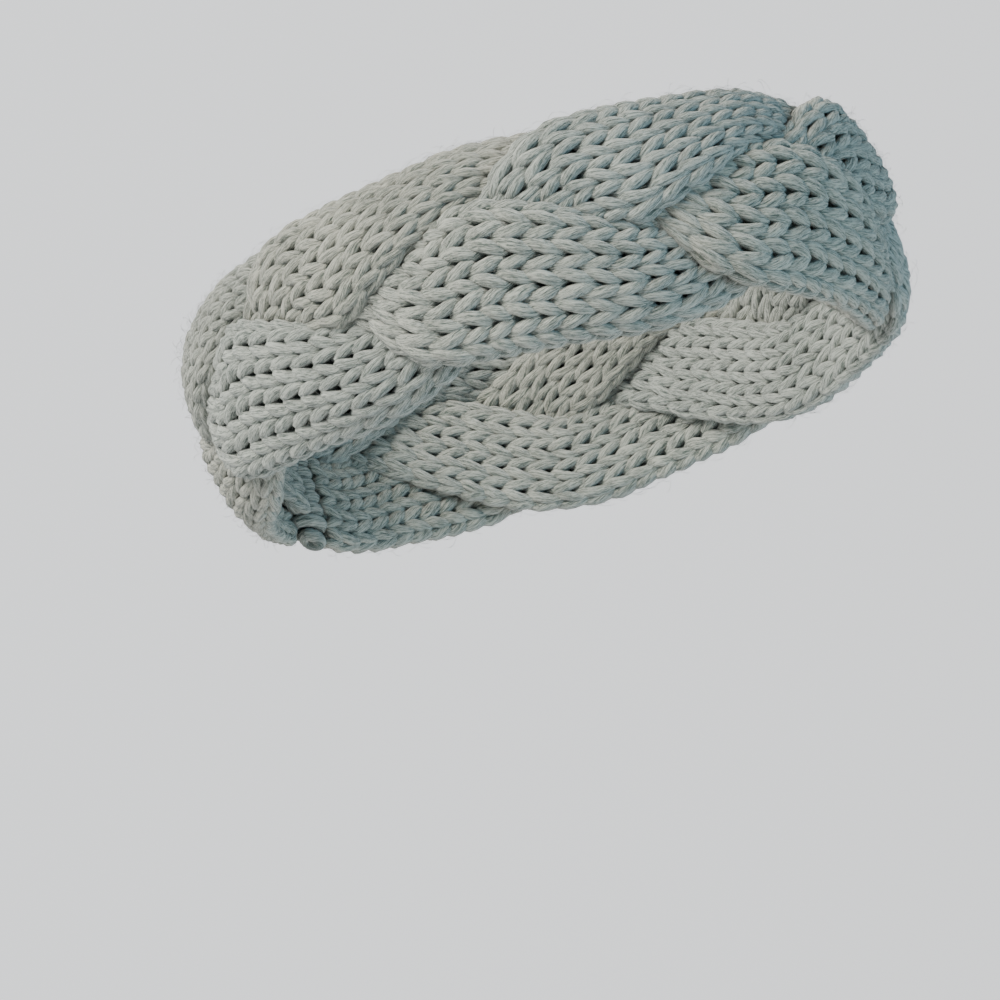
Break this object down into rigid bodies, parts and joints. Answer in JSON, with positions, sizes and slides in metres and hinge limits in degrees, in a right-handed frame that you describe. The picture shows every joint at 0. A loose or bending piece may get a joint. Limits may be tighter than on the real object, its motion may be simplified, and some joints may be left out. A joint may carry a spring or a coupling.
{
  "type": "ear warmer headband",
  "caption": "Knitted ear warmer headband: soft strips plaited flat into a wide closed band that goes round the head over the ears, joined at the back.",
  "frame": {"origin": "centre of the loop, half way up the band, where the middle of the head comes", "axes": "+Z towards the top of the head, -Y towards the forehead, +Y towards the seam at the back of the head"},
  "size_m": [0.1944, 0.2338, 0.07],
  "materials": {
    "strand_one": "soft, chunky knit in grey-green yarn",
    "strand_two": "soft, chunky knit in grey-green yarn",
    "strand_three": "soft, chunky knit in grey-green yarn",
    "back_seam": "oversewn with the same yarn"
  },
  "bodies": {
    "root": {"strand_one": "strand_one", "strand_two": "strand_two", "strand_three": "strand_three", "back_seam": "back_seam"}
  },
  "joints": []
}
